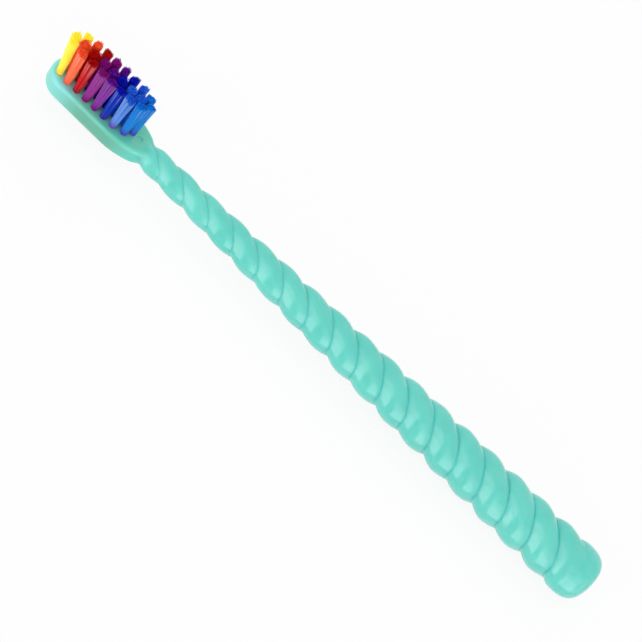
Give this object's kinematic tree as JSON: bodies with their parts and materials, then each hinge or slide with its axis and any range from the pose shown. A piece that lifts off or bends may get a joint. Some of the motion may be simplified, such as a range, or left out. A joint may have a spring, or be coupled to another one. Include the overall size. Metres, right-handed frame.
{
  "type": "manual toothbrush",
  "caption": "Manual toothbrush with a tapered rope-twist handle, a slim oblong head and tall round tufts of rainbow filaments set in staggered rows.",
  "frame": {"origin": "under the middle of the brush, on the surface it lies on with its bristles up", "axes": "+X from the head's tip to the butt, along the handle's axis; +Z the way the bristles point; +Y to the right when looking from the butt towards the head"},
  "size_m": [0.1703, 0.0138, 0.0199],
  "materials": {
    "body": "glossy, slightly translucent mint plastic",
    "anchor": "bright flat wire",
    "bristle_yellow": "bundle of semi-clear dyed filaments",
    "bristle_orange": "bundle of semi-clear dyed filaments",
    "bristle_red": "bundle of semi-clear dyed filaments",
    "bristle_magenta": "bundle of semi-clear dyed filaments",
    "bristle_violet": "bundle of semi-clear dyed filaments",
    "bristle_indigo": "bundle of semi-clear dyed filaments",
    "bristle_blue": "bundle of semi-clear dyed filaments",
    "bristle_azure": "bundle of semi-clear dyed filaments"
  },
  "bodies": {
    "root": {"handle_body": "body", "anchor_plates": "anchor", "tuft_near_1": "bristle_yellow", "tuft_near_2": "bristle_orange", "tuft_near_3": "bristle_red", "tuft_near_4": "bristle_magenta", "tuft_near_5": "bristle_violet", "tuft_near_6": "bristle_indigo", "tuft_near_7": "bristle_blue", "tuft_near_8": "bristle_azure", "tuft_far_1": "bristle_yellow", "tuft_far_2": "bristle_orange", "tuft_far_3": "bristle_red", "tuft_far_4": "bristle_magenta", "tuft_far_5": "bristle_violet", "tuft_far_6": "bristle_indigo", "tuft_far_7": "bristle_blue", "tuft_far_8": "bristle_azure", "tuft_middle_1": "bristle_yellow", "tuft_middle_2": "bristle_orange", "tuft_middle_3": "bristle_red", "tuft_middle_4": "bristle_magenta", "tuft_middle_5": "bristle_violet", "tuft_middle_6": "bristle_indigo", "tuft_middle_7": "bristle_blue", "tuft_middle_8": "bristle_blue", "tuft_middle_9": "bristle_azure"}
  },
  "joints": []
}
